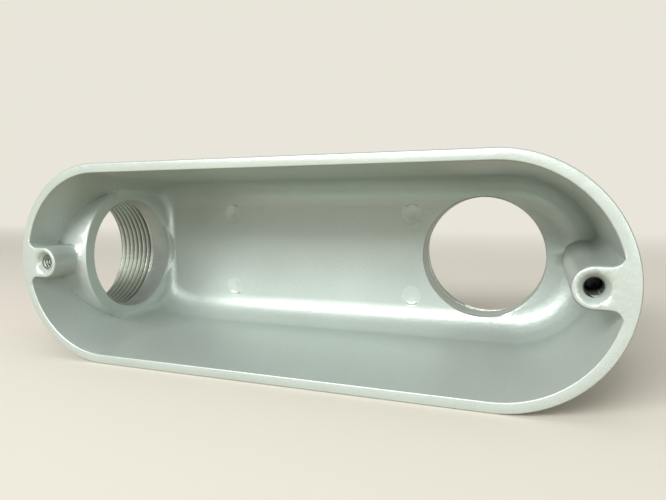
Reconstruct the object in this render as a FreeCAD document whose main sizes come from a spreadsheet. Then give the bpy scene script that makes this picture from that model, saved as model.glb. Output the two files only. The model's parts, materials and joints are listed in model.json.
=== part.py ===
# Conduit body of the LB kind: one die-cast aluminium box with an obround mouth, a threaded hub at
# one end and a second threaded hub through its back. Everything is one casting, so it is one solid.
#
# The body is drawn the way it comes out of its die: the mouth lies in the XY plane, x runs along
# the box and the depth goes down -Z. Its Placement then stands it on its long side, with the mouth
# facing -Y, the end hub facing -X and the back hub facing +Y.
import FreeCAD, Part
import os
import Sketcher

NODE = "conduit_body"

# ---- driving sizes, millimetres and degrees -----------------------------------------------------
SIZES = [
    ("body_length", 188.0, "mouth, end to end"),
    ("body_width", 65.0, "mouth, across"),
    ("body_depth", 60.6, "mouth plane to the flat of the back"),
    ("outer_draft", 1.5, "taper of the outside walls, degrees"),
    ("back_round", 10.0, "rounding of the outside back edge"),
    ("rim_wall", 3.1, "width of the flat rim"),
    ("rim_edge", 0.4, "slope at the rim's edges"),
    ("inner_draft", 2.5, "taper of the inside walls, degrees"),
    ("back_wall", 3.2, "thickness of the back"),
    ("floor_round", 10.0, "fillet between the inside walls and the floor"),
    ("hub_side_step", 6.1, "side of the box in to the side of a hub barrel"),
    ("collar_step", 0.9, "height of the collar at a hub's mouth"),
    ("collar_width", 6.5, "length of that collar"),
    ("hub_edge", 1.0, "slope at the collar's edges"),
    ("hub_blend", 2.2, "slope between a barrel and the box"),
    ("thread_wall", 4.1, "barrel wall outside the thread's crests"),
    ("mouth_slope", 1.4, "slope at the mouth of the thread"),
    ("throat_step", 1.85, "step from the thread's crests in to the smooth throat"),
    ("throat_edge", 0.8, "slope at the inner edge of the end hub's throat"),
    ("back_throat_edge", 0.3, "slope at the inner edge of the back hub's throat"),
    ("throat_clearance", 1.15, "lowest line of the end hub's throat to the floor"),
    ("end_hub_outset", 10.6, "end of the box to the end hub's mouth"),
    ("end_root_inset", 18.0, "end of the box back to where the end barrel starts"),
    ("end_seat_inset", 17.7, "end of the box back to the inner face of the end hub"),
    ("end_thread_length", 20.0, "threaded length of the end hub"),
    ("sleeve_side_step", 6.6, "side of the box in to the side of the end hub's inner sleeve"),
    ("sleeve_taper", 1.7, "how much narrower the sleeve is at the end wall"),
    ("sleeve_edge", 0.8, "slope at the sleeve's edge"),
    ("seat_top_rise", 8.8, "axis up to the top of the solid seat under the end hub"),
    ("seat_upper_inset", 3.3, "how far the plug's top stays inside the mouth's outline"),
    ("seat_lower_inset", 5.6, "how far its foot stays inside that outline"),
    ("seat_round", 3.5, "fillet where the seat of the end hub meets the walls and the floor"),
    ("back_hub_inset", 41.2, "end of the box back to the back hub's axis"),
    ("back_hub_length", 18.4, "flat of the back to the back hub's mouth"),
    ("back_thread_length", 13.2, "threaded length of the back hub"),
    ("screw_inset", 9.8, "end of the box back to each cover screw"),
    ("screw_radius", 2.1, "cover screw hole, at the thread's crests"),
    ("screw_depth", 18.0, "depth of the cover screw hole in the deep boss"),
    ("end_screw_depth", 9.6, "depth of the one over the end hub"),
    ("dish_radius", 3.9, "countersink of the cover screw holes, at the rim"),
    ("dish_depth", 2.5, "depth of that countersink"),
    ("boss_radius", 5.1, "cover screw boss, at the rim"),
    ("end_foot_radius", 5.4, "foot of the boss over the end hub"),
    ("foot_radius", 6.4, "foot of the other boss, on the floor"),
    ("boss_blend", 2.4, "hollow where a boss runs into the rim"),
    ("web_inset", 3.8, "end of the box back to where a boss's web meets the wall, at the rim"),
    ("end_foot_inset", 4.4, "the same at the foot of the boss over the end hub"),
    ("foot_inset", 6.8, "the same at the foot of the other boss"),
    ("web_bury", 2.0, "how far a web's back is buried in the end wall"),
    ("foot_bury", 1.1, "the same at the foot of the other boss"),
    ("end_boss_depth", 11.0, "depth of the boss over the end hub"),
    ("pin_radius", 3.5, "ejector pin marks on the floor"),
    ("pin_depth", 0.4, "depth of those shallow dimples"),
    ("pin_y", 14.8, "ejector pin marks, off the middle line"),
    ("pin_left_inset", 49.0, "end of the box back to the marks near the end hub"),
    ("pin_right_inset", 65.9, "end of the box back to the marks near the back hub"),
]


class Size:
    """A length with its value and the sheet formula that gives it."""

    def __init__(self, value, formula):
        self.value = value
        self.formula = formula

    def __add__(self, other):
        return Size(self.value + other.value, "(%s + %s)" % (self.formula, other.formula))

    def __sub__(self, other):
        return Size(self.value - other.value, "(%s - %s)" % (self.formula, other.formula))

    def __mul__(self, factor):
        return Size(self.value * factor, "(%s * %s)" % (self.formula, factor))

    def __neg__(self):
        return self * -1


doc = FreeCAD.newDocument("conduit_body")
sheet = doc.addObject("Spreadsheet::Sheet", "Sizes")
for row, (alias, value, note) in enumerate(SIZES, start=1):
    sheet.set("A%d" % row, alias)
    sheet.set("B%d" % row, str(value))
    sheet.set("C%d" % row, note)
    sheet.setAlias("B%d" % row, alias)
doc.recompute()


def size(alias):
    return Size(float(sheet.get(alias)), "Sizes." + alias)


ZERO = Size(0.0, "0")

body = doc.addObject("PartDesign::Body", "Body")
body.Label = NODE
PLANES = {}
for feature in body.Origin.OriginFeatures:
    PLANES[feature.Role] = feature


# ---- sketch helpers -----------------------------------------------------------------------------
def new_sketch(name, plane, shift=None):
    """A sketch on an origin plane; shift is {"x"|"y"|"z": Size}, in the sketch's own axes."""
    sketch = body.newObject("Sketcher::SketchObject", name)
    sketch.AttachmentSupport = [(PLANES[plane], "")]
    sketch.MapMode = "FlatFace"
    for axis, length in (shift or {}).items():
        sketch.setExpression(".AttachmentOffset.Base." + axis, length.formula)
    return sketch


def bind(sketch, kind, where, length):
    """One dimension tied to the sheet; a negative distance is measured the other way round."""
    if kind in ("DistanceX", "DistanceY"):
        point = where
        origin = (-1, 1)
        if abs(length.value) < 1e-9:
            sketch.addConstraint(Sketcher.Constraint("PointOnObject", point[0], point[1],
                                                     -2 if kind == "DistanceX" else -1))
            return
        if length.value > 0:
            ends = origin + point
        else:
            ends = point + origin
            length = -length
        index = sketch.addConstraint(Sketcher.Constraint(kind, *ends, length.value))
    else:
        index = sketch.addConstraint(Sketcher.Constraint(kind, *where, length.value))
    sketch.setExpression("Constraints[%d]" % index, length.formula)


def add_loop(sketch, corners):
    """A closed loop through corners (x, y). A corner with more items starts an arc, not a line.
    (x, y, middle, side): its centre is at x = middle on the sketch's x axis, and it bulges towards
    +x or -x as side is 1 or -1. (x, y, middle, side, radius): a quarter circle of that radius,
    centred at x = middle, that bulges towards the x axis as it leaves it or comes to it."""
    count = len(corners)
    sides = []
    for i, corner in enumerate(corners):
        after = corners[(i + 1) % count]
        start = FreeCAD.Vector(corner[0].value, corner[1].value, 0)
        end = FreeCAD.Vector(after[0].value, after[1].value, 0)
        if len(corner) == 2:
            sides.append((sketch.addGeometry(Part.LineSegment(start, end), False), 1, 2))
            continue
        centre = FreeCAD.Vector(corner[2].value, 0, 0)
        top = centre + FreeCAD.Vector((start - centre).Length * corner[3], 0, 0)
        if len(corner) == 5:
            centre.y = max(start.y, end.y) if start.y > 0 else min(start.y, end.y)
            lean = FreeCAD.Vector(corner[3], -1 if start.y > 0 else 1, 0)
            top = centre + lean * (corner[4].value / lean.Length)
        geo = sketch.addGeometry(Part.Arc(start, top, end), False)
        forward = (sketch.getPoint(geo, 1) - start).Length < 1e-6
        sides.append((geo, 1, 2) if forward else (geo, 2, 1))
        bind(sketch, "DistanceX", (geo, 3), corner[2])
    for i in range(count):
        geo, begin, finish = sides[i]
        next_geo, next_begin, next_finish = sides[(i + 1) % count]
        sketch.addConstraint(Sketcher.Constraint("Coincident", geo, finish, next_geo, next_begin))
    for i, corner in enumerate(corners):
        geo, begin, finish = sides[i]
        bind(sketch, "DistanceX", (geo, begin), corner[0])
        bind(sketch, "DistanceY", (geo, begin), corner[1])


def extrude(kind, name, sketch, length, draft=None, flip=False):
    """A Pad or a Pocket of one sketch; draft in degrees widens or narrows it on the way."""
    feature = body.newObject("PartDesign::" + kind, name)
    feature.Profile = sketch
    feature.Reversed = flip
    feature.setExpression("Length", length.formula)
    if draft is not None:
        feature.setExpression("TaperAngle", draft.formula)
    sketch.Visibility = False
    doc.recompute()
    return feature


def revolve(kind, name, sketch, axis):
    """A Revolution or a Groove, all the way round one of the sketch's own axes."""
    feature = body.newObject("PartDesign::" + kind, name)
    feature.Profile = sketch
    feature.ReferenceAxis = (sketch, [axis])
    feature.Angle = 360.0
    sketch.Visibility = False
    doc.recompute()
    return feature


def ease_edges(kind, name, edges, amount):
    """A Fillet or a Chamfer on the edges of the tip that a test picks out."""
    base = body.Tip
    names = []
    for i, edge in enumerate(base.Shape.Edges, start=1):
        if edges(edge):
            names.append("Edge%d" % i)
    if not names:
        raise RuntimeError(name + " found no edge")
    feature = body.newObject("PartDesign::" + kind, name)
    feature.Base = (base, names)
    feature.setExpression("Radius" if kind == "Fillet" else "Size", amount.formula)
    doc.recompute()
    return feature


def removed(feature, before):
    """Stops where a cut took nothing away."""
    if feature.Shape.Volume > before - 1.0:
        raise RuntimeError(feature.Name + " cut nothing")
    return feature.Shape.Volume


# ---- the box's outside --------------------------------------------------------------------------
half_width = size("body_width") * 0.5
half_length = size("body_length") * 0.5
arc_x = half_length - half_width
floor_depth = size("body_depth") - size("back_wall")


def obround(name, middle, radius):
    """The plan of the mouth: two half circles joined by straight sides."""
    sketch = new_sketch(name, "XY_Plane")
    add_loop(sketch, [(middle, -radius, middle, 1), (middle, radius),
                      (-middle, radius, -middle, -1), (-middle, -radius)])
    return sketch


outline = obround("MouthOutline", arc_x, half_width)
block = extrude("Pad", "BoxOutside", outline, size("body_depth"), -size("outer_draft"), flip=True)


def at_depth(edge, depth, slack=0.01):
    """True where the whole edge lies at one depth below the mouth."""
    box = edge.BoundBox
    return abs(box.ZMin + depth) < slack and abs(box.ZMax + depth) < slack


ease_edges("Fillet", "BackRounding", lambda edge: at_depth(edge, size("body_depth").value),
           size("back_round"))

# ---- the two hub barrels ------------------------------------------------------------------------
hub_radius = half_width - size("hub_side_step")
collar = hub_radius + size("collar_step")
slope = size("hub_edge")
thread_radius = hub_radius - size("thread_wall")
throat_radius = thread_radius - size("throat_step")
end_axis_depth = floor_depth - size("throat_clearance") - throat_radius


def barrel(name, plane_shift, axis, root, reach, sign):
    """A barrel's half section, from its root inside the box to its mouth, turned about its axis.
    It has a collar at the mouth, sloped at both edges. sign says which way the mouth lies."""
    sketch = new_sketch(name + "Section", "XZ_Plane", plane_shift)
    radius = hub_radius
    along = [(root, ZERO), (root, radius), (reach - size("collar_width") - slope, radius),
             (reach - size("collar_width"), collar), (reach - slope, collar),
             (reach, collar - slope), (reach, ZERO)]
    if axis == "H_Axis":
        corners = [(place * sign, out) for place, out in along]
    else:
        corners = [(out, place * sign) for place, out in along]
    add_loop(sketch, corners)
    return revolve("Revolution", name, sketch, axis)


end_reach = half_length + size("end_hub_outset")
back_reach = size("body_depth") + size("back_hub_length")
back_hub_x = half_length - size("back_hub_inset")
end_shift = {"y": -end_axis_depth}
back_shift = {"x": back_hub_x}
barrel("EndHub", end_shift, "H_Axis", half_length - size("end_root_inset"), end_reach, -1)
barrel("BackHub", back_shift, "V_Axis", end_axis_depth, back_reach, -1)


def on_barrel(edge):
    """True for the seams where a barrel meets the box: curves that lie on a barrel's cylinder."""
    points = edge.discretize(9)
    radius = hub_radius.value
    depth = end_axis_depth.value
    middle = back_hub_x.value
    end = all(abs((p.y ** 2 + (p.z + depth) ** 2) ** 0.5 - radius) < 0.02 for p in points)
    back = all(abs(((p.x - middle) ** 2 + p.y ** 2) ** 0.5 - radius) < 0.02 for p in points)
    flat = edge.BoundBox.XLength < 0.01 or edge.BoundBox.ZLength < 0.01
    along = edge.BoundBox.YLength < 0.01
    return (end or back) and not along and not flat


ease_edges("Chamfer", "HubBlends", on_barrel, size("hub_blend"))

# ---- the cavity ---------------------------------------------------------------------------------
volume = body.Shape.Volume
cavity_outline = obround("CavityOutline", arc_x, half_width - size("rim_wall"))
cavity = extrude("Pocket", "Cavity", cavity_outline, floor_depth, -size("inner_draft"))
volume = removed(cavity, volume)
ease_edges("Fillet", "FloorRounding", lambda edge: at_depth(edge, floor_depth.value),
           size("floor_round"))

# The end hub reaches into the box. Under it the casting is solid down to the floor, so a plug
# fills that end of the cavity, and a round sleeve stands above it towards the mouth.
seat_face = half_length - size("end_seat_inset")


def seat_plan(name, depth, radius):
    """The plug's plan at one depth: the seat's straight face and an arc hidden in the end wall."""
    sketch = new_sketch(name, "XY_Plane", {"z": -depth})
    half = (radius.value ** 2 - (seat_face.value - arc_x.value) ** 2) ** 0.5
    low = FreeCAD.Vector(-seat_face.value, -half, 0)
    high = FreeCAD.Vector(-seat_face.value, half, 0)
    line = sketch.addGeometry(Part.LineSegment(low, high), False)
    top = FreeCAD.Vector(-arc_x.value - radius.value, 0, 0)
    arc = sketch.addGeometry(Part.Arc(low, top, high), False)
    low_end = 1 if (sketch.getPoint(arc, 1) - low).Length < 1e-6 else 2
    sketch.addConstraint(Sketcher.Constraint("Coincident", line, 1, arc, low_end))
    sketch.addConstraint(Sketcher.Constraint("Coincident", line, 2, arc, 3 - low_end))
    sketch.addConstraint(Sketcher.Constraint("Vertical", line))
    bind(sketch, "DistanceX", (line, 1), -seat_face)
    bind(sketch, "DistanceX", (arc, 3), -arc_x)
    bind(sketch, "DistanceY", (arc, 3), ZERO)
    bind(sketch, "Radius", (arc,), radius)
    return sketch


seat_top = end_axis_depth - size("seat_top_rise")
upper = seat_plan("SeatUpper", seat_top, half_width - size("seat_upper_inset"))
lower = seat_plan("SeatLower", floor_depth + size("pin_depth"),
                  half_width - size("seat_lower_inset"))
seat = body.newObject("PartDesign::AdditiveLoft", "SeatPlug")
seat.Profile = upper
seat.Sections = [lower]
seat.Ruled = True
doc.recompute()


def seat_corner(edge):
    """True for the corner where the seat's face runs down the walls and along the floor."""
    box = edge.BoundBox
    face = seat_face.value
    on_face = abs(box.XMin + face) < 0.01 and abs(box.XMax + face) < 0.01
    return on_face and box.ZMin < -seat_top.value - 1.0


ease_edges("Fillet", "SeatRounding", seat_corner, size("seat_round"))

sleeve_sketch = new_sketch("SleeveSection", "XZ_Plane", end_shift)
edge = size("sleeve_edge")
sleeve_radius = half_width - size("sleeve_side_step")
sleeve_root = size("rim_wall") - half_length
add_loop(sleeve_sketch, [(-seat_face, ZERO), (-seat_face, sleeve_radius - edge),
                         (-seat_face - edge, sleeve_radius),
                         (sleeve_root, sleeve_radius - size("sleeve_taper")), (sleeve_root, ZERO)])
revolve("Revolution", "EndSleeve", sleeve_sketch, "H_Axis")

# The flat rim is eased along both its edges before the bosses run into it.
ease_edges("Chamfer", "RimEdges", lambda edge: at_depth(edge, 0.0), size("rim_edge"))

# ---- the cover screw bosses ---------------------------------------------------------------------
screw_x = half_length - size("screw_inset")
web_back = half_length - size("web_inset")


def boss(name, side, depth, foot_radius, foot_back, foot_bury):
    """A boss is a half-round nose, turned about the screw's axis so that it widens with depth, and
    a straight-sided web that runs back from it and flares into the end wall. Both are eased at
    the rim."""
    top_radius = size("boss_radius")
    ease = size("rim_edge")
    middle = screw_x * side
    nose = new_sketch(name + "NoseSection", "XZ_Plane", {"x": middle})
    add_loop(nose, [(ZERO, ZERO), ((top_radius - ease) * -side, ZERO), (top_radius * -side, -ease),
                    (foot_radius * -side, -depth), (ZERO, -depth)])
    turned = body.newObject("PartDesign::Revolution", name + "Nose")
    turned.Profile = nose
    turned.ReferenceAxis = (nose, ["V_Axis"])
    turned.Angle = 180.0
    turned.Midplane = True
    doc.recompute()
    webs = []
    bury = size("web_bury")
    for label, at, half, back, deep in (("WebTop", ZERO, top_radius - ease, web_back, bury),
                                        ("WebEdge", ease, top_radius, web_back, bury),
                                        ("WebFoot", depth, foot_radius, foot_back, foot_bury)):
        flare = size("boss_blend")
        sketch = new_sketch(name + label, "XY_Plane", {"z": -at})
        bend = (back - flare) * side
        deep = (back + deep) * side
        back = back * side
        add_loop(sketch, [(middle, half), (middle, -half), (bend, -half, bend, side, flare),
                          (back, -half - flare), (deep, -half - flare), (deep, half + flare),
                          (back, half + flare, bend, side, flare), (bend, half)])
        webs.append(sketch)
    web = body.newObject("PartDesign::AdditiveLoft", name + "Web")
    web.Profile = webs[0]
    web.Sections = webs[1:]
    web.Ruled = True
    doc.recompute()


boss("Boss", 1, floor_depth, size("foot_radius"), half_length - size("foot_inset"),
     size("foot_bury"))
boss("EndBoss", -1, size("end_boss_depth"), size("end_foot_radius"),
     half_length - size("end_foot_inset"), size("web_bury"))

# ---- the bores ----------------------------------------------------------------------------------
volume = body.Shape.Volume
thread_mouth = thread_radius + size("mouth_slope")


def bore(name, plane_shift, axis, reach, thread_end, inner, ease):
    """A hub's bore: an eased mouth, the straight wall at the thread's crests, a step down to the
    smooth throat, and the throat's eased inner edge. It lies on the minus side of its axis."""
    sketch = new_sketch(name + "Section", "XZ_Plane", plane_shift)
    thread = thread_radius
    throat = throat_radius
    over = size("rim_wall")
    along = [(reach + over, ZERO), (reach + over, thread_mouth),
             (reach, thread_mouth), (reach - size("mouth_slope"), thread), (thread_end, thread),
             (thread_end, throat), (inner + ease, throat), (inner, throat + ease), (inner - over,
             throat + ease), (inner - over, ZERO)]
    if axis == "H_Axis":
        corners = [(-place, out) for place, out in along]
    else:
        corners = [(out, -place) for place, out in along]
    add_loop(sketch, corners)
    return revolve("Groove", name, sketch, axis)


end_bore = bore("EndBore", end_shift, "H_Axis", end_reach, end_reach - size("end_thread_length"),
                seat_face, size("throat_edge"))
volume = removed(end_bore, volume)
back_bore = bore("BackBore", back_shift, "V_Axis", back_reach,
                 back_reach - size("back_thread_length"), floor_depth,
                 size("back_throat_edge"))
volume = removed(back_bore, volume)

# The cover screw holes, each with a countersink.
screw = size("screw_radius")
dish = size("dish_radius")
for name, x, deep in (("ScrewHole", screw_x, size("screw_depth")),
                      ("EndScrewHole", -screw_x, size("end_screw_depth"))):
    section = new_sketch(name + "Section", "XZ_Plane", {"x": x})
    add_loop(section, [(ZERO, size("rim_wall")), (ZERO, -deep), (screw, -deep),
                       (screw, -size("dish_depth")), (dish, ZERO), (dish, size("rim_wall"))])
    volume = removed(revolve("Groove", name, section, "V_Axis"), volume)

# Four shallow round dimples that the ejector pins leave on the floor.
pin_right = half_length - size("pin_right_inset")
pin_left = size("pin_left_inset") - half_length
pin_rim = size("pin_depth") - floor_depth
for name, x, y in (("PinMark1", pin_right, size("pin_y")), ("PinMark2", pin_right, -size("pin_y")),
                   ("PinMark3", pin_left, size("pin_y")), ("PinMark4", pin_left, -size("pin_y"))):
    section = new_sketch(name + "Section", "XZ_Plane", {"x": x, "z": -y})
    add_loop(section, [(ZERO, pin_rim), (ZERO, -floor_depth - size("pin_depth")),
                       (size("pin_radius"), -floor_depth), (size("pin_radius"), pin_rim)])
    volume = removed(revolve("Groove", name, section, "V_Axis"), volume)

# ---- stand it on its long side, check it and write it -------------------------------------------
# The origin is under the middle of the whole casting's box.
middle = size("end_hub_outset") * 0.5
origin = FreeCAD.Vector(middle.value, -back_reach.value * 0.5, half_width.value)
turn = FreeCAD.Rotation(FreeCAD.Vector(1, 0, 0), 90)
body.Placement = FreeCAD.Placement(origin, turn)
doc.recompute()

for step in doc.Objects:
    if "Invalid" in step.State or "Error" in step.State:
        raise RuntimeError(step.Name + " failed: " + ", ".join(step.State))
if body.Shape.isNull() or not body.Shape.isValid() or len(body.Shape.Solids) != 1:
    raise RuntimeError(NODE + " is not one valid solid")

os.makedirs("parts", exist_ok=True)
body.Shape.exportStep("parts/" + NODE + ".step")
print(NODE, "volume %.0f mm3" % body.Shape.Volume, "box", body.Shape.BoundBox)
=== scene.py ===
# %% [markdown]
# A conduit body is the cast box that takes electrical conduit round a corner.
# This one is an LB: one threaded hub at its left end, one out of its back, and an open mouth
# in front, through which the wires are pulled. It stands here on its long side, mouth to the
# viewer, without its cover. The casting's shape is already solid geometry. What is left for
# this file is what a mould cannot give it: the tapped threads, the sprayed finish, the bare
# metal where the taps cut, and the light.

# %% Load the frame
import json
import math
import bmesh
import bpy
import numpy as np
from mathutils import Matrix, Vector


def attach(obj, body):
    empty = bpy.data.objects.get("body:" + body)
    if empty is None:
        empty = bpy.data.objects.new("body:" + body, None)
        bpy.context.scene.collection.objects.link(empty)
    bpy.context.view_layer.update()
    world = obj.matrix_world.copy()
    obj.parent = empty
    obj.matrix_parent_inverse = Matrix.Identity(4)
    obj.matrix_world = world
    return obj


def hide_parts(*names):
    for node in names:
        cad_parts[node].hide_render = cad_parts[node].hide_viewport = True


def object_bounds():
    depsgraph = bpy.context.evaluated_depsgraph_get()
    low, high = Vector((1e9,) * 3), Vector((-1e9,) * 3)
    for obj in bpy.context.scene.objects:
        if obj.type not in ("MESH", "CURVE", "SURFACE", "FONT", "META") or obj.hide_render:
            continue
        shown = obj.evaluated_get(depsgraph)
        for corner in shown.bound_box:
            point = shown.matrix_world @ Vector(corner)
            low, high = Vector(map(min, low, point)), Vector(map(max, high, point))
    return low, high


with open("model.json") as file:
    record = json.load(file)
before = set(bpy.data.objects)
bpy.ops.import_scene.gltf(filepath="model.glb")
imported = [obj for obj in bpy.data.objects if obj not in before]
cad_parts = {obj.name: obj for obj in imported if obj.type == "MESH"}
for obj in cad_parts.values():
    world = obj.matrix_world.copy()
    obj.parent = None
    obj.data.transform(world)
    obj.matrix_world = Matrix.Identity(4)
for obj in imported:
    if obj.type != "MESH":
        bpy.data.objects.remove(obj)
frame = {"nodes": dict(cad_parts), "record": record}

MM = 0.001
cad_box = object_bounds()
print("cad box in mm:", [[round(v / MM, 1) for v in corner] for corner in cad_box])

# %% [markdown]
# The camera stands close in front, a little above the middle and to the right, and looks
# down to the left. So near a long object, the perspective is strong: the right end of the
# mouth looks much larger than the left one. A moderately wide lens keeps both ends in view.
# A constraint could aim the camera, but would hold it level, and this one leans by a little
# over half a degree. So its place and its three angles are written out.

# %% Place the camera
CAMERA_PLACE = (0.0804, -0.17744, 0.05416)
CAMERA_TURN = (84.376, 0.61, 21.497)
SENSOR_MM, LENS_MM = 36.0, 30.23
NEAREST, FARTHEST = 0.01, 20.0
camera_data = bpy.data.cameras.new("front_camera")
camera_data.sensor_width, camera_data.lens = SENSOR_MM, LENS_MM
camera_data.clip_start, camera_data.clip_end = NEAREST, FARTHEST
camera = bpy.data.objects.new("front_camera", camera_data)
camera.location = CAMERA_PLACE
camera.rotation_euler = [math.radians(turn) for turn in CAMERA_TURN]
bpy.context.scene.collection.objects.link(camera)
bpy.context.scene.camera = camera
distance = math.dist(CAMERA_PLACE, np.mean(cad_box, axis=0))
print("camera stands", round(distance, 3), "m from the middle")


# %% [markdown]
# Every finish below is a small graph of nodes. Three helpers are enough for all of them: one
# turns a colour as a paint maker writes it, in sRGB hex, into the linear numbers that the
# shader adds up, one adds a node with its settings and links in a single line, and one
# starts an empty material.

# %% Helpers for the finishes
def linear(hex_colour):
    """sRGB hex to linear RGBA: c / 12.92 below 0.04045, else ((c + 0.055) / 1.055) ** 2.4."""
    c = np.array([int(hex_colour[i:i + 2], 16) / 255 for i in (1, 3, 5)])
    return (*np.where(c <= 0.04045, c / 12.92, ((c + 0.055) / 1.055) ** 2.4).tolist(), 1.0)


def node(tree, kind, settings=None, **inputs):
    """One node of that kind. Settings are its own fields. Inputs are links if they are
    sockets, and plain values otherwise; an underscore stands for a space in their names, and
    an underscore with a number for the input with that number."""
    made = tree.nodes.new(kind)
    for field, value in (settings or {}).items():
        setattr(made, field, value)
    for name, value in inputs.items():
        socket = made.inputs[int(name[1:])] if name[1:].isdigit() else \
            made.inputs[name.replace("_", " ")]
        if isinstance(value, bpy.types.NodeSocket):
            tree.links.new(value, socket)
        else:
            socket.default_value = value
    return made


def new_material(name):
    """An empty material, its node tree and its shader, which is already linked to the output."""
    material = bpy.data.materials.new(name)
    material.use_nodes = True
    tree = material.node_tree
    tree.nodes.clear()
    shader = tree.nodes.new("ShaderNodeBsdfPrincipled")
    node(tree, "ShaderNodeOutputMaterial", Surface=shader.outputs["BSDF"])
    return material, tree, shader


print("white is", linear("#FFFFFF"), "and middle grey", linear("#808080"))

# %% [markdown]
# The outside and the cavity wear a light grey enamel with fine aluminium powder in it, sprayed
# over the raw die casting and baked. Three things give it away. The powder makes it gleam
# softly, between paint and metal. The spray dries to a fine orange peel with humps a little
# over a millimetre across, on which a highlight breaks up. And the skin of the casting
# underneath shows as faint cloudy patches, a few centimetres across. A painted map could carry
# all this, but then the surface would have to be laid out flat. A noise in three dimensions
# needs no map, so each of the three is a noise of its real size. Only the grains of powder, a
# few hundredths of a millimetre wide, are too fine to show, so they are drawn as flecks of
# about a third of a millimetre.

# %% The patterns of the sprayed finish
CLOUD_MM, PEEL_MM, GRIT_MM = 28.0, 1.3, 0.35
paint, tree, shader = new_material("sprayed_aluminium_enamel")
place = node(tree, "ShaderNodeTexCoord").outputs["Object"]
cloud = node(tree, "ShaderNodeTexNoise", Vector=place, Scale=1 / (CLOUD_MM * MM), Detail=3.0,
             Roughness=0.55)
peel = node(tree, "ShaderNodeTexNoise", Vector=place, Scale=1 / (PEEL_MM * MM), Detail=1.0,
            Roughness=0.4)
grit = node(tree, "ShaderNodeTexNoise", Vector=place, Scale=1 / (GRIT_MM * MM), Detail=2.0,
            Roughness=0.6)
print("clouds, peel and flecks in mm:", CLOUD_MM, PEEL_MM, GRIT_MM)

# %% [markdown]
# On the floor of the box four pins once pushed the casting out of its mould. Each left a
# round, very shallow print. The solid has all four as recesses, but so shallow a step hardly
# shows in soft light, so here each is also painted a shade lighter than the paint round it, a
# painted sheen, with a soft edge across the rim of its recess. The four stand at the corners of
# a rectangle. Folding space along the two middle lines of that rectangle lays them on one
# another, so one distance serves them all.

# %% The prints of the pins
PIN_MIDDLE, PIN_REACH = (-3.15 * MM, 32.5 * MM), (36.55 * MM, 14.8 * MM)
PIN_RADIUS, PIN_EDGE, PIN_LAST_Y = 3.9 * MM, 0.6 * MM, 20.0 * MM


def pin_discs(tree, place):
    """1 inside the four prints, 0 outside, with a soft edge. The prints mirror each other
    about a middle point, so the distance is sqrt((|x - x0| - a)^2 + (|z - z0| - b)^2). Past
    the last y lies the outside of the back, which has no prints."""
    split = node(tree, "ShaderNodeSeparateXYZ", Vector=place)
    folded = []
    for axis, middle, reach in zip("XZ", PIN_MIDDLE, PIN_REACH):
        off = node(tree, "ShaderNodeMath", {"operation": "SUBTRACT"}, _0=split.outputs[axis],
                   _1=middle)
        size = node(tree, "ShaderNodeMath", {"operation": "ABSOLUTE"}, _0=off.outputs["Value"])
        folded.append(node(tree, "ShaderNodeMath", {"operation": "SUBTRACT"},
                           _0=size.outputs["Value"], _1=reach).outputs["Value"])
    flat = node(tree, "ShaderNodeCombineXYZ", X=folded[0], Y=folded[1])
    away = node(tree, "ShaderNodeVectorMath", {"operation": "LENGTH"}, Vector=flat.outputs[0])
    disc = node(tree, "ShaderNodeMapRange", {"interpolation_type": "SMOOTHSTEP"},
                Value=away.outputs["Value"], From_Min=PIN_RADIUS - PIN_EDGE,
                From_Max=PIN_RADIUS, To_Min=1.0, To_Max=0.0)
    inside = node(tree, "ShaderNodeMath", {"operation": "LESS_THAN"}, _0=split.outputs["Y"],
                  _1=PIN_LAST_Y)
    return node(tree, "ShaderNodeMath", {"operation": "MULTIPLY"}, _0=disc.outputs["Result"],
                _1=inside.outputs["Value"]).outputs["Value"]


disc = pin_discs(tree, place)
print("pin prints stand", [round(2 * reach / MM, 1) for reach in PIN_REACH], "mm apart")

# %% [markdown]
# The enamel's colour is a light grey with a faint green in it. The cloudy patches lead from
# its darker tone to its lighter one, the flecks multiply that up and down by a few hundredths,
# and the prints take a quarter of a lighter tone, a painted sheen. Multiplying keeps the flecks
# in the hue of the paint, where mixing in white and black would grey it.

# %% The colour of the sprayed finish
PAINT_LIGHT, PAINT_DARK, PIN_SHEEN_TONE = "#B2BCB5", "#A6B0AA", "#C6CFC4"
PIN_SHEEN_SHARE, FLECK_DARK, FLECK_LIGHT = 0.25, 0.94, 1.05
GRIT_LOW, GRIT_HIGH = 0.35, 0.65
tone = node(tree, "ShaderNodeMix", {"data_type": "RGBA"}, _0=cloud.outputs["Fac"],
            _6=linear(PAINT_DARK), _7=linear(PAINT_LIGHT))
fleck = node(tree, "ShaderNodeMapRange", Value=grit.outputs["Fac"], From_Min=GRIT_LOW,
             From_Max=GRIT_HIGH, To_Min=FLECK_DARK, To_Max=FLECK_LIGHT)
speckled = node(tree, "ShaderNodeMix", {"data_type": "RGBA", "blend_type": "MULTIPLY"}, _0=1.0,
                _6=tone.outputs[2], _7=fleck.outputs["Result"])
# The lighter tone on the prints is a painted sheen.
share = node(tree, "ShaderNodeMath", {"operation": "MULTIPLY"}, _0=disc, _1=PIN_SHEEN_SHARE)
pin_sheened = node(tree, "ShaderNodeMix", {"data_type": "RGBA"}, _0=share.outputs["Value"],
              _6=speckled.outputs[2], _7=linear(PIN_SHEEN_TONE))
tree.links.new(pin_sheened.outputs[2], shader.inputs["Base Color"])
print("enamel from", PAINT_DARK, "to", PAINT_LIGHT)

# %% [markdown]
# The metal in the enamel is stated as a share: a third of the way from paint to metal gives
# the soft gleam. The patches are also a little smoother and a little rougher. A noise seldom
# leaves the span from 0.3 to 0.7, so that span is stretched over the two roughnesses. The
# humps, the prints and the flecks stack up as three bumps, because at a tenth of a millimetre
# they only bend the highlight and never the outline.

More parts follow.
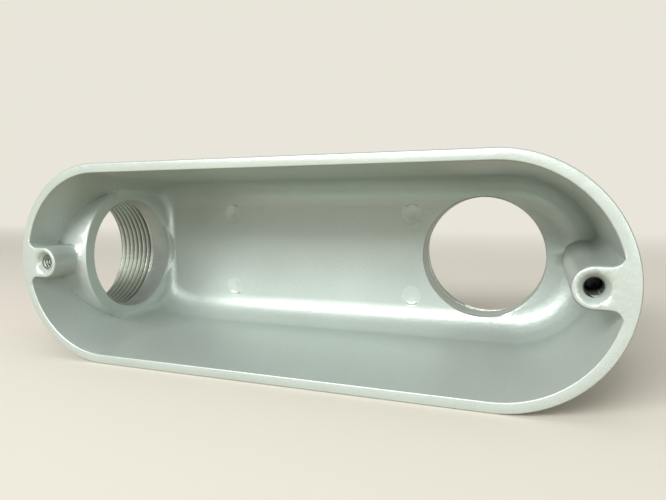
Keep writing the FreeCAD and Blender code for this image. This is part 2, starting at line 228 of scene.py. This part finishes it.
# %% The surface of the sprayed finish
METAL_SHARE, LACQUER_IOR = 0.35, 1.5
SMOOTH_PATCH, ROUGH_PATCH = 0.37, 0.45
NOISE_LOW, NOISE_HIGH = 0.3, 0.7
PEEL_HEIGHT, PIN_DEPTH, GRIT_HEIGHT = 0.12 * MM, 0.06 * MM, 0.03 * MM
gloss = node(tree, "ShaderNodeMapRange", Value=cloud.outputs["Fac"], From_Min=NOISE_LOW,
             From_Max=NOISE_HIGH, To_Min=SMOOTH_PATCH, To_Max=ROUGH_PATCH)
peel_bump = node(tree, "ShaderNodeBump", Height=peel.outputs["Fac"], Strength=0.5,
                 Distance=PEEL_HEIGHT)
pin_bump = node(tree, "ShaderNodeBump", {"invert": True}, Height=disc, Strength=1.0,
                Distance=PIN_DEPTH, Normal=peel_bump.outputs["Normal"])
skin = node(tree, "ShaderNodeBump", Height=grit.outputs["Fac"], Strength=0.5,
            Distance=GRIT_HEIGHT, Normal=pin_bump.outputs["Normal"])
shader.inputs["Metallic"].default_value = METAL_SHARE
shader.inputs["IOR"].default_value = LACQUER_IOR
tree.links.new(gloss.outputs["Result"], shader.inputs["Roughness"])
tree.links.new(skin.outputs["Normal"], shader.inputs["Normal"])
print("finish:", paint.name)

# %% [markdown]
# The threads are shown bare, as taps leave them that run in after painting: a warm pale grey
# aluminium, with the fine rings that a cutting edge leaves round the bore. Real ones stand a
# quarter of a millimetre apart, which is too fine to see from here, so they are drawn five
# times coarser. They are one wave along each bore's axis, so it takes a material for each
# direction of bore. The wave node has 20 / 2 pi waves to the unit at a scale of 1. Beyond the
# radius of the crests, down in the grooves, the metal is painted darker: painted shade.

# %% The bare metal that the taps leave
RING_MM, STAIN_MM = 1.25, 6.0
RING_HEIGHT = 0.02 * MM
WAVE_PERIOD = 2 * math.pi / 20
BRIGHT_CUT, DULL_CUT = 0.38, 0.50
# The groove shade is painted shade: it darkens the metal out in the grooves, past the crests.
GROOVE_SHADE_TONE, GROOVE_SHADE_SHARE = "#5F655A", 0.75
GROOVE_SHADE_START, GROOVE_SHADE_END = 0.1 * MM, 1.1 * MM


def cut_metal(name, band, dark, light, centre=(0, 0, 0), crest=1.0):
    """Turned aluminium whose rings stand across the axis of the wave: X or Y. Beyond the
    crest's radius from an axis through the centre, it is painted darker by how far out it lies,
    as painted shade in the grooves. The crest of 1 m that is taken where none is given lies
    past the whole part: no painted shade."""
    material, tree, shader = new_material(name)
    place = node(tree, "ShaderNodeTexCoord").outputs["Object"]
    rings = node(tree, "ShaderNodeTexWave", {"bands_direction": band}, Vector=place,
                 Scale=WAVE_PERIOD / (RING_MM * MM), Distortion=1.2, Detail=2.0, Detail_Scale=1.5)
    stain = node(tree, "ShaderNodeTexNoise", Vector=place, Scale=1 / (STAIN_MM * MM), Detail=3.0)
    tone = node(tree, "ShaderNodeMix", {"data_type": "RGBA"}, _0=stain.outputs["Fac"],
                _6=linear(dark), _7=linear(light))
    polish = node(tree, "ShaderNodeMapRange", Value=stain.outputs["Fac"], From_Min=NOISE_LOW,
                  From_Max=NOISE_HIGH, To_Min=BRIGHT_CUT, To_Max=DULL_CUT)
    bump = node(tree, "ShaderNodeBump", Height=rings.outputs["Fac"], Strength=0.35,
                Distance=RING_HEIGHT)
    off = node(tree, "ShaderNodeVectorMath", {"operation": "SUBTRACT"}, _0=place, _1=centre)
    flat = node(tree, "ShaderNodeVectorMath", {"operation": "MULTIPLY"}, _0=off.outputs["Vector"],
                _1=(band != "X", band != "Y", True))
    away = node(tree, "ShaderNodeVectorMath", {"operation": "LENGTH"}, _0=flat.outputs["Vector"])
    # Painted shade in the grooves, growing from the crest's radius outwards.
    groove_shade = node(tree, "ShaderNodeMapRange", Value=away.outputs["Value"],
                 From_Min=crest + GROOVE_SHADE_START, From_Max=crest + GROOVE_SHADE_END, To_Max=GROOVE_SHADE_SHARE)
    groove_shaded = node(tree, "ShaderNodeMix", {"data_type": "RGBA"}, _0=groove_shade.outputs["Result"],
                _6=tone.outputs[2], _7=linear(GROOVE_SHADE_TONE))
    shader.inputs["Metallic"].default_value = 1.0
    tree.links.new(groove_shaded.outputs[2], shader.inputs["Base Color"])
    tree.links.new(polish.outputs["Result"], shader.inputs["Roughness"])
    tree.links.new(bump.outputs["Normal"], shader.inputs["Normal"])
    return material


# %% [markdown]
# Both hubs get the bright cut, each with its own axis, centre and crests from the part's list
# of mounts. The two screw holes look different from each other. The right one is painted near
# black, as painted shade in the hole, and the left one a dull grey, darkened as painted shade
# in the narrow hole. So narrow a hole shows little but its tone, so each gets a finish of its
# own and neither gets the groove shade.

# %% One finish for each kind of bore
CUT_DARK, CUT_LIGHT = "#C2C7BC", "#DDE0D6"
# Painted shade: the left hole's metal is darkened and the right hole's is near black.
SHADED_SCREW_DARK, SHADED_SCREW_LIGHT = "#7E837A", "#9BA096"
SHADE_BLACK_DARK, SHADE_BLACK_LIGHT = "#3A3B37", "#55574F"
mounts = {mount["name"]: mount for mount in frame["record"]["mounts"]}
bare_along, bare_through = [
    cut_metal(name, band, CUT_DARK, CUT_LIGHT, mounts[hub]["pos_m"],
              mounts[hub]["dims"]["r_mm"] * MM)
    for name, band, hub in (("tapped_aluminium_along", "X", "end_hub"),
                            ("tapped_aluminium_through", "Y", "back_hub"))]
screw_shade_black = cut_metal("painted_shade_screw_thread", "Y", SHADE_BLACK_DARK, SHADE_BLACK_LIGHT)
shaded_screw = cut_metal("shaded_tapped_aluminium_screw", "Y", SHADED_SCREW_DARK, SHADED_SCREW_LIGHT)
print("finishes:", bare_along.name, bare_through.name, shaded_screw.name, screw_shade_black.name)

# %% [markdown]
# A thread is a groove that winds round a bore, so it can be cut as a real tap does it: carry
# the groove's outline along a helix, which gives one long coil, and take that coil away from
# the casting. A bump or a screw modifier would be quicker, but a bump leaves the crests a
# smooth circle, and the modifier makes a thread of its own that the bore would have to be
# joined to. The coil is a surface of two parameters, the turn along the helix and the place
# on the outline. Its sides stand straight inside the bore, where they cut only air, so that
# one turn never touches the next. At the inner end the groove grows shallow over the last
# turn, as it does where a tap stops.

# %% Make a tap's coil
GROOVE_HALF, GROOVE_FLAT, GROOVE_FOOT = 0.44, 0.06, 0.06
RUN_OUT_TURNS = 1.0


def tap_coil(name, start, axis, radius, depth, pitch, length, steps):
    """The coil at angle a: its outline (s, r) goes to start + axis * (s + pitch * a / 2 pi)
    + r * (cos a * across + sin a * up), a right-handed helix. The outline is a blunt V from
    the bore's radius out to radius + depth, with a foot in the open bore. The V's half width
    and half flat are shares of the pitch, and the foot's height is a share of the radius. The
    depth fades to nothing over the last turn."""
    axis = np.array(axis, dtype=float)
    across = np.array([0.0, 0.0, 1.0])
    up = np.cross(axis, across)
    turns = length / pitch
    angle = np.linspace(0.0, 2 * np.pi * turns, int(turns * steps) + 1)
    width, flat, foot = GROOVE_HALF * pitch, GROOVE_FLAT * pitch, GROOVE_FOOT * radius
    side = np.array([-width, -width, -flat, flat, width, width])
    lift = np.array([-1.0, 0.0, 1.0, 1.0, 0.0, -1.0])
    left = (angle[-1] - angle) / (2 * np.pi * RUN_OUT_TURNS)
    fade = np.clip(left, 0.0, 1.0)[:, None]
    out = radius + np.where(lift > 0, depth * fade, np.where(lift < 0, -foot, 0.0))
    along = side[None, :] + pitch * angle[:, None] / (2 * np.pi)
    turn = angle[:, None, None]
    points = (np.array(start) + along[..., None] * axis
              + out[..., None] * (np.cos(turn) * across + np.sin(turn) * up))
    return coil_mesh(name, points)


def coil_mesh(name, points):
    """A closed tube from a grid of points (rows, ring): quads along it and a cap at each end."""
    rows, ring = points.shape[:2]
    i, j = np.meshgrid(np.arange(rows - 1), np.arange(ring), indexing="ij")
    k = (j + 1) % ring
    quads = np.stack([i * ring + j, i * ring + k, (i + 1) * ring + k, (i + 1) * ring + j], -1)
    caps = [list(range(ring - 1, -1, -1)), list(range((rows - 1) * ring, rows * ring))]
    mesh = bpy.data.meshes.new(name)
    mesh.from_pydata(points.reshape(-1, 3).tolist(), [],
                     quads.reshape(-1, 4).tolist() + caps)
    work = bmesh.new()
    work.from_mesh(mesh)
    bmesh.ops.recalc_face_normals(work, faces=work.faces)
    work.to_mesh(mesh)
    work.free()
    coil = bpy.data.objects.new(name, mesh)
    bpy.context.scene.collection.objects.link(coil)
    return coil


# %% [markdown]
# Where each bore is, which way it faces and how wide it is come from the part's own list of
# mounts, so none of it is written here a second time. A coil starts one pitch outside its
# bore and is a little under half a pitch longer than the bore. So it ends just before the
# inner end does, and its last turn doesn't touch the step there.

# %% A coil for one bore
COIL_OVERLENGTH = 0.45


def bore_coil(name, mount, pos, length, pitch, depth, steps, bare):
    """The coil of one bore, in the bare finish. It starts outside the mouth at
    pos + axis * (length / 2 + pitch), and winds inwards for length + overlength * pitch."""
    dims, axis = mount["dims"], np.array(mount["axis"], dtype=float)
    radius = dims.get("r_mm", dims.get("hole_r_mm")) * MM
    start = np.array(pos) + axis * (length / 2 + pitch)
    coil = tap_coil(name, start, -axis, radius, depth, pitch,
                    length + COIL_OVERLENGTH * pitch, steps)
    coil.data.materials.append(bare)
    return coil


# %% [markdown]
# The hubs take 1-1/2 in conduit, whose thread has 11.5 turns to the inch, so 2.209 mm a turn
# and about 1.7 mm deep. A turn is 72 steps, so that the groove looks round close up.

# %% Coils for the two hubs
INCH = 25.4 * MM
HUB_PITCH, HUB_DEPTH, HUB_STEPS = INCH / 11.5, 1.65 * MM, 72
coils = []
for name, bare in (("end_hub", bare_along), ("back_hub", bare_through)):
    mount = mounts[name]
    coils.append(bore_coil(name + "_coil", mount, mount["pos_m"],
                           mount["dims"]["length_mm"] * MM, HUB_PITCH, HUB_DEPTH, HUB_STEPS,
                           bare))
print("coils:", {coil.name: len(coil.data.polygons) for coil in coils})

# %% [markdown]
# The cover screws are 10-24, 24 turns to the inch. They stand at the two ends of the mouth, in
# holes of different depth, and each thread ends before its hole does, as a tap cannot cut down
# to the bottom. They are small, so fewer steps make a turn look round.

# %% Coils for the two cover screws
SCREW_PITCH, SCREW_DEPTH, SCREW_STEPS = INCH / 24, 0.36 * MM, 28
LEFT_THREAD, RIGHT_THREAD, THREAD_START = 5.5 * MM, 12.0 * MM, 2.5 * MM
screws = mounts["cover_screws"]
mouth = cad_box[0][1]
for side, name, length, finish in ((-1, "left", LEFT_THREAD, shaded_screw),
                                   (1, "right", RIGHT_THREAD, screw_shade_black)):
    pos = np.array(screws["pos_m"]) + [side * screws["dims"]["spacing_x_mm"] / 2 * MM, 0, 0]
    pos[1] = mouth + length / 2 + THREAD_START
    coils.append(bore_coil("screw_coil_" + name, screws, pos, length, SCREW_PITCH, SCREW_DEPTH,
                           SCREW_STEPS, finish))
print("coils:", {coil.name: len(coil.data.polygons) for coil in coils})

# %% [markdown]
# The casting's own mesh is loose triangles, so a copy of it is merged first: only a closed
# skin can be cut. The copy starts out painted all over.


# %% Merge the casting's mesh
WELD = 0.002 * MM


def merged_copy(name, source):
    """A copy of a mesh with its doubled corners merged, as a new object at the origin."""
    mesh = source.data.copy()
    mesh.name = name
    work = bmesh.new()
    work.from_mesh(mesh)
    bmesh.ops.remove_doubles(work, verts=work.verts, dist=WELD)
    bmesh.ops.dissolve_degenerate(work, edges=work.edges, dist=WELD)
    open_edges = sum(not edge.is_manifold for edge in work.edges)
    work.to_mesh(mesh)
    work.free()
    made = bpy.data.objects.new(name, mesh)
    bpy.context.scene.collection.objects.link(made)
    print(name, "faces", len(mesh.polygons), "open edges", open_edges)
    return made


casting = merged_copy("tapped_casting", frame["nodes"]["conduit_body"])
finishes = [paint, bare_along, bare_through, shaded_screw, screw_shade_black]
casting.data.materials.clear()
for finish in finishes:
    casting.data.materials.append(finish)
painted = np.full(len(casting.data.polygons), finishes.index(paint))
casting.data.polygons.foreach_set("material_index", painted)

# %% [markdown]
# Each coil is taken away by a Boolean modifier. The fast solver can fail where two surfaces
# cross at a flat angle, as a coil and the facets of its bore do, so the exact one is used. The
# cut faces keep the coil's bare metal. The result is made the casting's mesh, so that no
# modifier and no coil is left.

# %% Cut the threads
for coil in coils:
    cut = casting.modifiers.new(coil.name, "BOOLEAN")
    cut.operation, cut.solver, cut.object = "DIFFERENCE", "EXACT", coil
    cut.material_mode = "TRANSFER"
bpy.context.view_layer.update()
worked_out = casting.evaluated_get(bpy.context.evaluated_depsgraph_get())
cut_mesh = bpy.data.meshes.new_from_object(worked_out)
casting.modifiers.clear()
casting.data = cut_mesh
cut_mesh.name = "tapped_casting"
for coil in coils:
    bpy.data.objects.remove(coil)
print("tapped casting:", len(cut_mesh.polygons), "faces", [m.name for m in cut_mesh.materials])

# %% [markdown]
# What the drill left between the turns of a hub's thread is the casting's own skin, and the
# Boolean leaves it painted. It is bare metal too, so it is picked out by its distance from the
# bore's axis. The step at the bore's inner end is cast and stays painted, so a face that looks
# along the axis is passed over.


# %% Bare metal on the bores
BARE_MARGIN_MM, BARE_PAST_END = 1.75, 0.6 * MM
STEP_COSINE = 0.9


def face_values(mesh):
    """Centres and normals of all faces, as two arrays of rows (x, y, z)."""
    centres, normals = np.empty(len(mesh.polygons) * 3), np.empty(len(mesh.polygons) * 3)
    mesh.polygons.foreach_get("center", centres)
    mesh.polygons.foreach_get("normal", normals)
    return centres.reshape(-1, 3), normals.reshape(-1, 3)


def bare_faces(mesh, pos, axis, reach, half):
    """True for faces within reach of the bore's axis and within half a length of its middle,
    whose normal's share along the axis is under the step's cosine."""
    centres, normals = face_values(mesh)
    axis = np.array(axis, dtype=float)
    offset = centres - np.array(pos)
    along = offset @ axis
    away = np.linalg.norm(offset - along[:, None] * axis, axis=1)
    wall = np.abs(normals @ axis) < STEP_COSINE
    return wall & (away < reach) & (np.abs(along) < half)


finish_of = np.empty(len(cut_mesh.polygons), int)
cut_mesh.polygons.foreach_get("material_index", finish_of)
for name, finish in (("end_hub", bare_along), ("back_hub", bare_through)):
    mount = mounts[name]
    bare = bare_faces(cut_mesh, mount["pos_m"], mount["axis"],
                      (mount["dims"]["r_mm"] + BARE_MARGIN_MM) * MM,
                      mount["dims"]["length_mm"] / 2 * MM + BARE_PAST_END)
    finish_of[bare] = finishes.index(finish)
    print(name, "bare faces", int(bare.sum()))
cut_mesh.polygons.foreach_set("material_index", finish_of)

# %% [markdown]
# Every round on a casting is smooth, and every cut edge is crisp. Outside, where the eased
# edges are, faces that meet at less than 50 degrees are shaded as one skin, and sharper ones
# keep their edge. Inside the cavity the limit is 28 degrees, because the sleeve round the hub
# runs into the wall at a flat angle there, and its line has to stay.


# %% Find the edges of the cavity
END_HUB_REACH, BACK_HUB_REACH = 10.6 * MM, 18.4 * MM
RIM_ZONE, WALL = 1.2 * MM, 3.0 * MM


def inner_edges(mesh, box):
    """True for edges whose middle is inside the cavity: behind the rim, inside the walls."""
    corners = np.empty(len(mesh.vertices) * 3)
    mesh.vertices.foreach_get("co", corners)
    ends = np.empty(len(mesh.edges) * 2, int)
    mesh.edges.foreach_get("vertices", ends)
    middle = corners.reshape(-1, 3)[ends.reshape(-1, 2)].mean(axis=1)
    low = np.array(box[0]) + [END_HUB_REACH + WALL, RIM_ZONE, WALL]
    high = np.array(box[1]) - [WALL, BACK_HUB_REACH + WALL, WALL]
    return np.all((middle > low) & (middle < high), axis=1)


inner = inner_edges(cut_mesh, cad_box)
print("edges of the cavity:", int(inner.sum()), "of", len(inner))

# %% [markdown]
# The sharp edges are worked out twice, once with each limit, and every edge takes the answer
# of its own zone. Weighted normals then let the large flat faces set the shading at their
# borders, so that the rounds end cleanly. This finished piece stands for the plain solid.

# %% Shade the skin
SMOOTH_OUTSIDE, SMOOTH_INSIDE = math.radians(50), math.radians(28)


def sharp_edges(mesh, limit):
    """True for the edges whose two faces meet at more than the limit."""
    mesh.set_sharp_from_angle(angle=limit)
    sharp = np.empty(len(mesh.edges), bool)
    mesh.edges.foreach_get("use_edge_sharp", sharp)
    return sharp


cut_mesh.shade_smooth()
outside_sharp = sharp_edges(cut_mesh, SMOOTH_OUTSIDE)
inside_sharp = sharp_edges(cut_mesh, SMOOTH_INSIDE)
cut_mesh.edges.foreach_set("use_edge_sharp", np.where(inner, inside_sharp, outside_sharp))
weigh = casting.modifiers.new("weighted_normals", "WEIGHTED_NORMAL")
weigh.mode, weigh.keep_sharp = "FACE_AREA", True
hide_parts("conduit_body")
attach(casting, "root")
print("sharp edges:", sum(edge.use_edge_sharp for edge in cut_mesh.edges))

# %% [markdown]
# The part stands on a plain pale floor that curves up into a wall behind it, as a paper roll
# in a studio does. A floor and a wall would meet in a line behind the part. One surface makes
# both here: a profile with a round corner, carried sideways.


# %% The shape of the paper roll
ROLL_FRONT, ROLL_BACK = -2.5, 1.2
ROLL_CORNER, ROLL_HEIGHT, ROLL_HALF_WIDTH = 0.6, 2.5, 3.0
CORNER_POINTS = 25


def paper_roll(name, front, back, corner, height, half_width):
    """Profile (y, z): straight from front to back, a quarter circle of that corner radius
    y = back + corner * sin t, z = corner * (1 - cos t), then straight up; carried along x."""
    t = np.linspace(0, np.pi / 2, CORNER_POINTS)
    y = np.concatenate([[front], back + corner * np.sin(t), [back + corner]])
    z = np.concatenate([[0.0], corner * (1 - np.cos(t)), [height]])
    x = np.array([-half_width, half_width])
    grid = np.stack(np.broadcast_arrays(x[None, :], y[:, None], z[:, None]), -1)
    i = np.arange(len(y) - 1)
    quads = np.stack([2 * i, 2 * i + 1, 2 * i + 3, 2 * i + 2], -1)
    mesh = bpy.data.meshes.new(name)
    mesh.from_pydata(grid.reshape(-1, 3).tolist(), [], quads.tolist())
    mesh.shade_smooth()
    made = bpy.data.objects.new(name, mesh)
    bpy.context.scene.collection.objects.link(made)
    return made


roll = paper_roll("studio_floor", ROLL_FRONT, ROLL_BACK, ROLL_CORNER, ROLL_HEIGHT,
                  ROLL_HALF_WIDTH)
print("floor:", roll.name, "with", len(roll.data.polygons), "faces")

# %% [markdown]
# The camera, and the reflections in metal and enamel, see a pale card. Diffuse light meets a
# darker tan one instead, so that what comes up off the floor is weak and warm, as from a
# workbench. Behind the part the card fades into an even glow of one pale tone, which keeps
# lamp falloff and shadows out of the backdrop. A brighter lamp on the card would do that too,
# but it would spill onto the casting.

# %% The card of the paper roll
CARD_TONE, BOUNCE_TONE, BACKDROP_TONE = "#D0CBBF", "#A8966F", "#E9E5DA"
CARD_ROUGHNESS, BACKDROP_STRENGTH = 0.9, 1.0
GLOW_START, GLOW_FULL = 0.08, 0.7
card, tree, shader = new_material("studio_card")
shader.inputs["Roughness"].default_value = CARD_ROUGHNESS
place = node(tree, "ShaderNodeTexCoord").outputs["Object"]
split = node(tree, "ShaderNodeSeparateXYZ", Vector=place)
far = node(tree, "ShaderNodeMapRange", {"interpolation_type": "SMOOTHSTEP"},
           Value=split.outputs["Y"], From_Min=GLOW_START, From_Max=GLOW_FULL)
ray = node(tree, "ShaderNodeLightPath")
seen = node(tree, "ShaderNodeMath", {"operation": "MAXIMUM"}, _0=ray.outputs["Is Camera Ray"],
            _1=ray.outputs["Is Glossy Ray"])
card_tone = node(tree, "ShaderNodeMix", {"data_type": "RGBA"}, _0=seen.outputs["Value"],
                 _6=linear(BOUNCE_TONE), _7=linear(CARD_TONE))
tree.links.new(card_tone.outputs[2], shader.inputs["Base Color"])
share = node(tree, "ShaderNodeMath", {"operation": "MULTIPLY"}, _0=far.outputs["Result"],
             _1=seen.outputs["Value"])
glow = node(tree, "ShaderNodeEmission", Color=linear(BACKDROP_TONE), Strength=BACKDROP_STRENGTH)
blend = node(tree, "ShaderNodeMixShader", _0=share.outputs["Value"],
             _1=shader.outputs["BSDF"], _2=glow.outputs["Emission"])
out = next(n for n in tree.nodes if n.type == "OUTPUT_MATERIAL")
tree.links.new(blend.outputs["Shader"], out.inputs["Surface"])
roll.data.materials.append(card)
print("card:", card.name)

# %% [markdown]
# A large soft lamp stands in front, above and to the left, like a window. It lights the rim,
# the lower wall and the lower half of the floor, and its reflection runs along the round at
# the foot of the lower wall. The upper wall keeps the rest of the cavity in half shade. A
# weaker panel in front and to the right fills that shade, together with a wide weak lamp
# overhead. Bare bulbs would do it with hard shadows, so all three are panels.


# %% Lamps
LAMP_AIM = (0.0, 0.0, 0.03)


def soft_lamp(name, place, aim, size, watts):
    """A soft panel of that width and height in metres, which faces the point aim."""
    data = bpy.data.lights.new(name, "AREA")
    data.shape, data.energy = "RECTANGLE", watts
    data.size, data.size_y = size
    lamp = bpy.data.objects.new(name, data)
    toward = Vector(np.array(aim) - np.array(place)).to_track_quat("-Z", "Y")
    lamp.matrix_world = Matrix.Translation(place) @ toward.to_matrix().to_4x4()
    bpy.context.scene.collection.objects.link(lamp)
    return lamp


lamps = [soft_lamp(name, place, LAMP_AIM, size, watts) for name, place, size, watts in (
    ("window_lamp", (-0.3, -1.0, 0.62), (0.8, 0.36), 18.5),
    ("side_fill", (0.85, -0.95, 0.25), (0.7, 0.6), 7.5),
    ("ceiling_lamp", (0.1, -0.1, 1.3), (0.9, 0.9), 3.0))]
print("lamps:", {lamp.name: round(lamp.data.energy, 1) for lamp in lamps})

# %% [markdown]
# The rest of the room is an even, slightly cool air, dim enough to leave the shade inside the
# cavity. Only the camera sees the backdrop's pale tone in its place, beyond the card's edge.

# %% Air
AIR_TONE, AIR_STRENGTH = "#F4F6F8", 0.45
world = bpy.data.worlds.new("studio_air")
world.use_nodes = True
tree = world.node_tree
tree.nodes.clear()
air = node(tree, "ShaderNodeBackground", Color=linear(AIR_TONE), Strength=AIR_STRENGTH)
beyond = node(tree, "ShaderNodeBackground", Color=linear(BACKDROP_TONE),
              Strength=BACKDROP_STRENGTH)
ray = node(tree, "ShaderNodeLightPath")
both = node(tree, "ShaderNodeMixShader", _0=ray.outputs["Is Camera Ray"],
            _1=air.outputs["Background"], _2=beyond.outputs["Background"])
node(tree, "ShaderNodeOutputWorld", Surface=both.outputs["Shader"])
bpy.context.scene.world = world
bpy.context.scene.view_settings.view_transform = "Standard"
print("air:", world.name, "at strength", AIR_STRENGTH)
